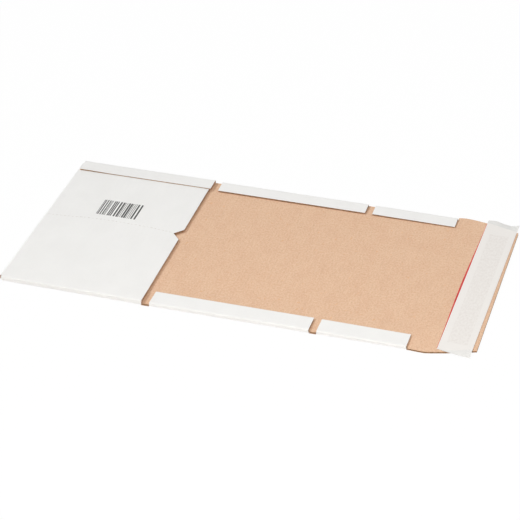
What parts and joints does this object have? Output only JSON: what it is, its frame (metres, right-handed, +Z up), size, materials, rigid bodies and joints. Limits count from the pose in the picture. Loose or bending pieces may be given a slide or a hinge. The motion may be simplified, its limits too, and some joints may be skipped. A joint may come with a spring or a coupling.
{
  "type": "book wrap mailer",
  "caption": "White corrugated book wrap mailer lying open, with a flat pocket, folded-in side flaps, a tear strip and a self-seal closing flap.",
  "frame": {"origin": "on the face the mailer rests on, under the middle of the middle panel", "axes": "+X runs from the pocket to the closing flap, +Y to the far side in the picture, +Z up through the board's inner face"},
  "size_m": [0.4927, 0.2552, 0.0075],
  "materials": {
    "white_board": "matt white-lined",
    "kraft_board": "matt brown kraft",
    "tear_film": "satin red film",
    "adhesive": "tacky hot-melt film",
    "liner_paper": "smooth silicone-coated paper"
  },
  "bodies": {
    "middle": {"middle_panel": "kraft_board"},
    "pocket_end": {"pocket": "white_board"},
    "closing_end": {"closing_flap": "kraft_board", "tear_strip": "tear_film", "adhesive_band": "adhesive", "release_liner": "liner_paper"}
  },
  "joints": [
    {"name": "pocket_fold", "type": "hinge", "parent": "middle", "child": "pocket_end", "pos_m": [-0.0872, 0, 0.0023], "axis": [0, 1, 0], "range_deg": [0, 105]},
    {"name": "closing_fold", "type": "hinge", "parent": "middle", "child": "closing_end", "pos_m": [0.0865, 0, 0.0023], "axis": [0, -1, 0], "range_deg": [0, 105]}
  ]
}
